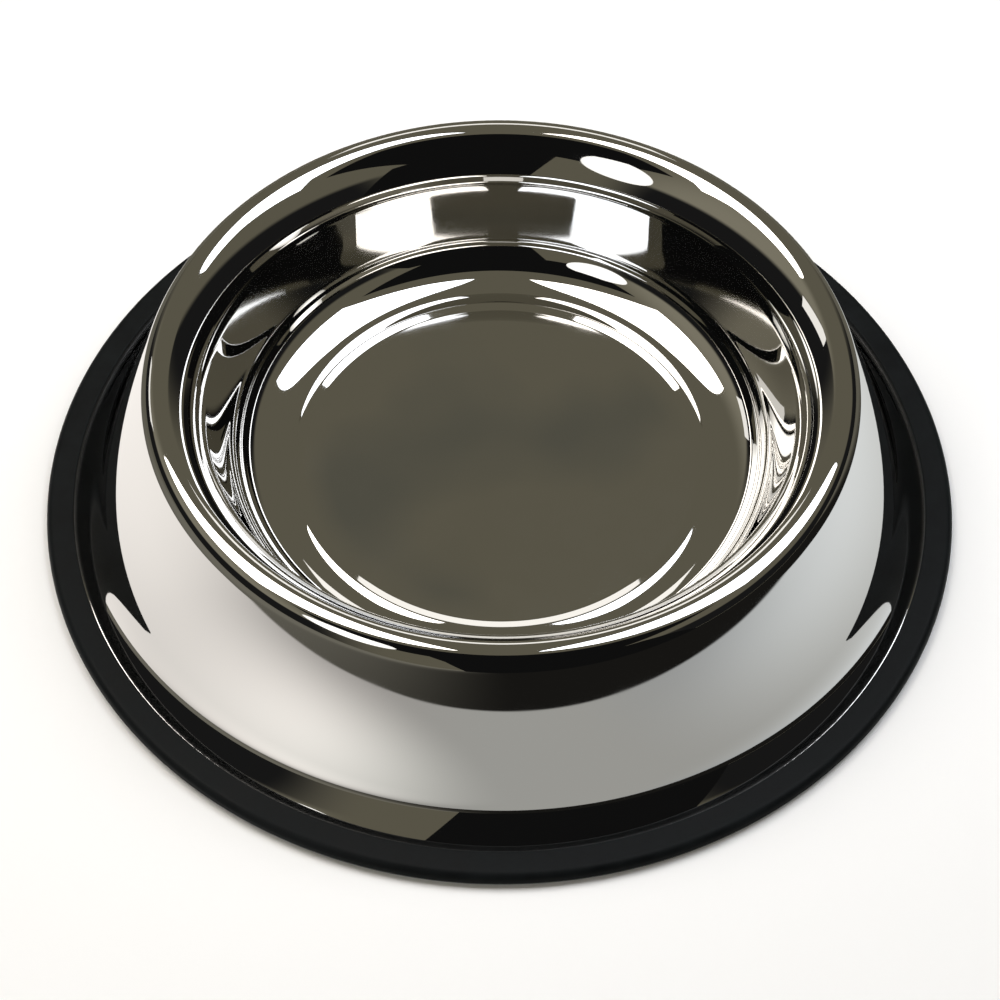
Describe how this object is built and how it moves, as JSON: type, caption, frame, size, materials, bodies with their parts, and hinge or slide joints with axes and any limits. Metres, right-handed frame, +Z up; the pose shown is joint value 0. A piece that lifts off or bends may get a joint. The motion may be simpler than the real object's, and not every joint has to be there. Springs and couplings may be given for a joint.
{
  "type": "non-tip dog bowl",
  "caption": "Shallow round stainless steel feeding bowl, pressed in one sheet with a rolled rim and a flared skirt, its foot gripped by a non-slip rubber ring.",
  "frame": {"origin": "on the bowl's axis, in the plane of the rubber ring's underside, on which the bowl stands", "axes": "+Z up along the axis of the bowl; the bowl is round, so +X and +Y are any two level directions square to each other"},
  "size_m": [0.21, 0.21, 0.043],
  "materials": {
    "steel": "mirror-polished walls, satin floor",
    "rubber": "matt moulded"
  },
  "bodies": {
    "root": {"bowl_shell": "steel", "rubber_ring": "rubber"}
  },
  "joints": []
}
